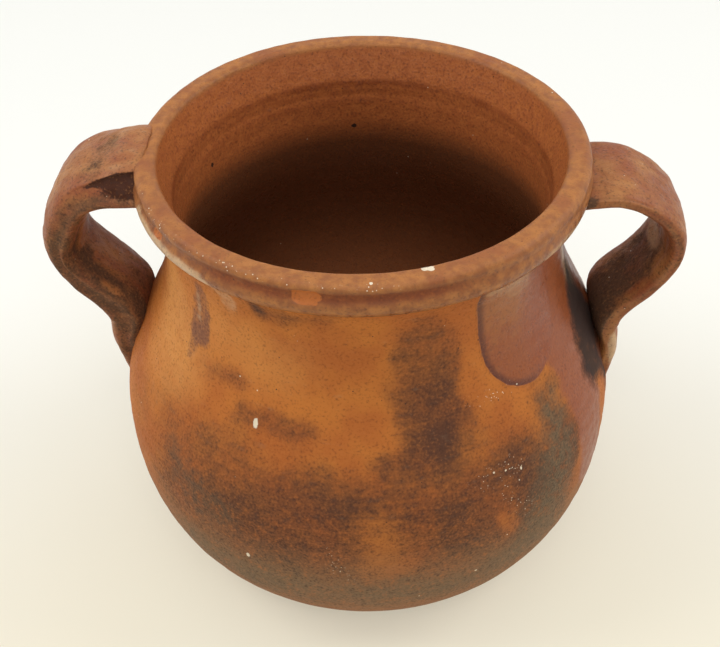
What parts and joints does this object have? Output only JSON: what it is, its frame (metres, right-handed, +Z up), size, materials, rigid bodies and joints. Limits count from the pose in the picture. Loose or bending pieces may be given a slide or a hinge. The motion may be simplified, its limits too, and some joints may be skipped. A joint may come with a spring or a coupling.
{
  "type": "earthenware cooking pot",
  "caption": "Round-bellied earthenware cooking pot with a wide mouth, a grooved rim folded outwards, and a strap handle on either side.",
  "frame": {"origin": "centre of the flat base, on the surface that the pot stands on", "axes": "+Z up along the axis of the thrown vessel, +X towards the right-hand handle, -Y towards the viewer of the picture"},
  "size_m": [0.203, 0.1666, 0.15],
  "materials": {
    "bare_clay": "unglazed orange earthenware with soot marks outside, brown glaze on the rim and inside",
    "slip_clay": "red-brown slip glaze with a dull sheen"
  },
  "bodies": {
    "root": {"vessel": "bare_clay", "handle_left": "slip_clay", "handle_right": "slip_clay"}
  },
  "joints": []
}
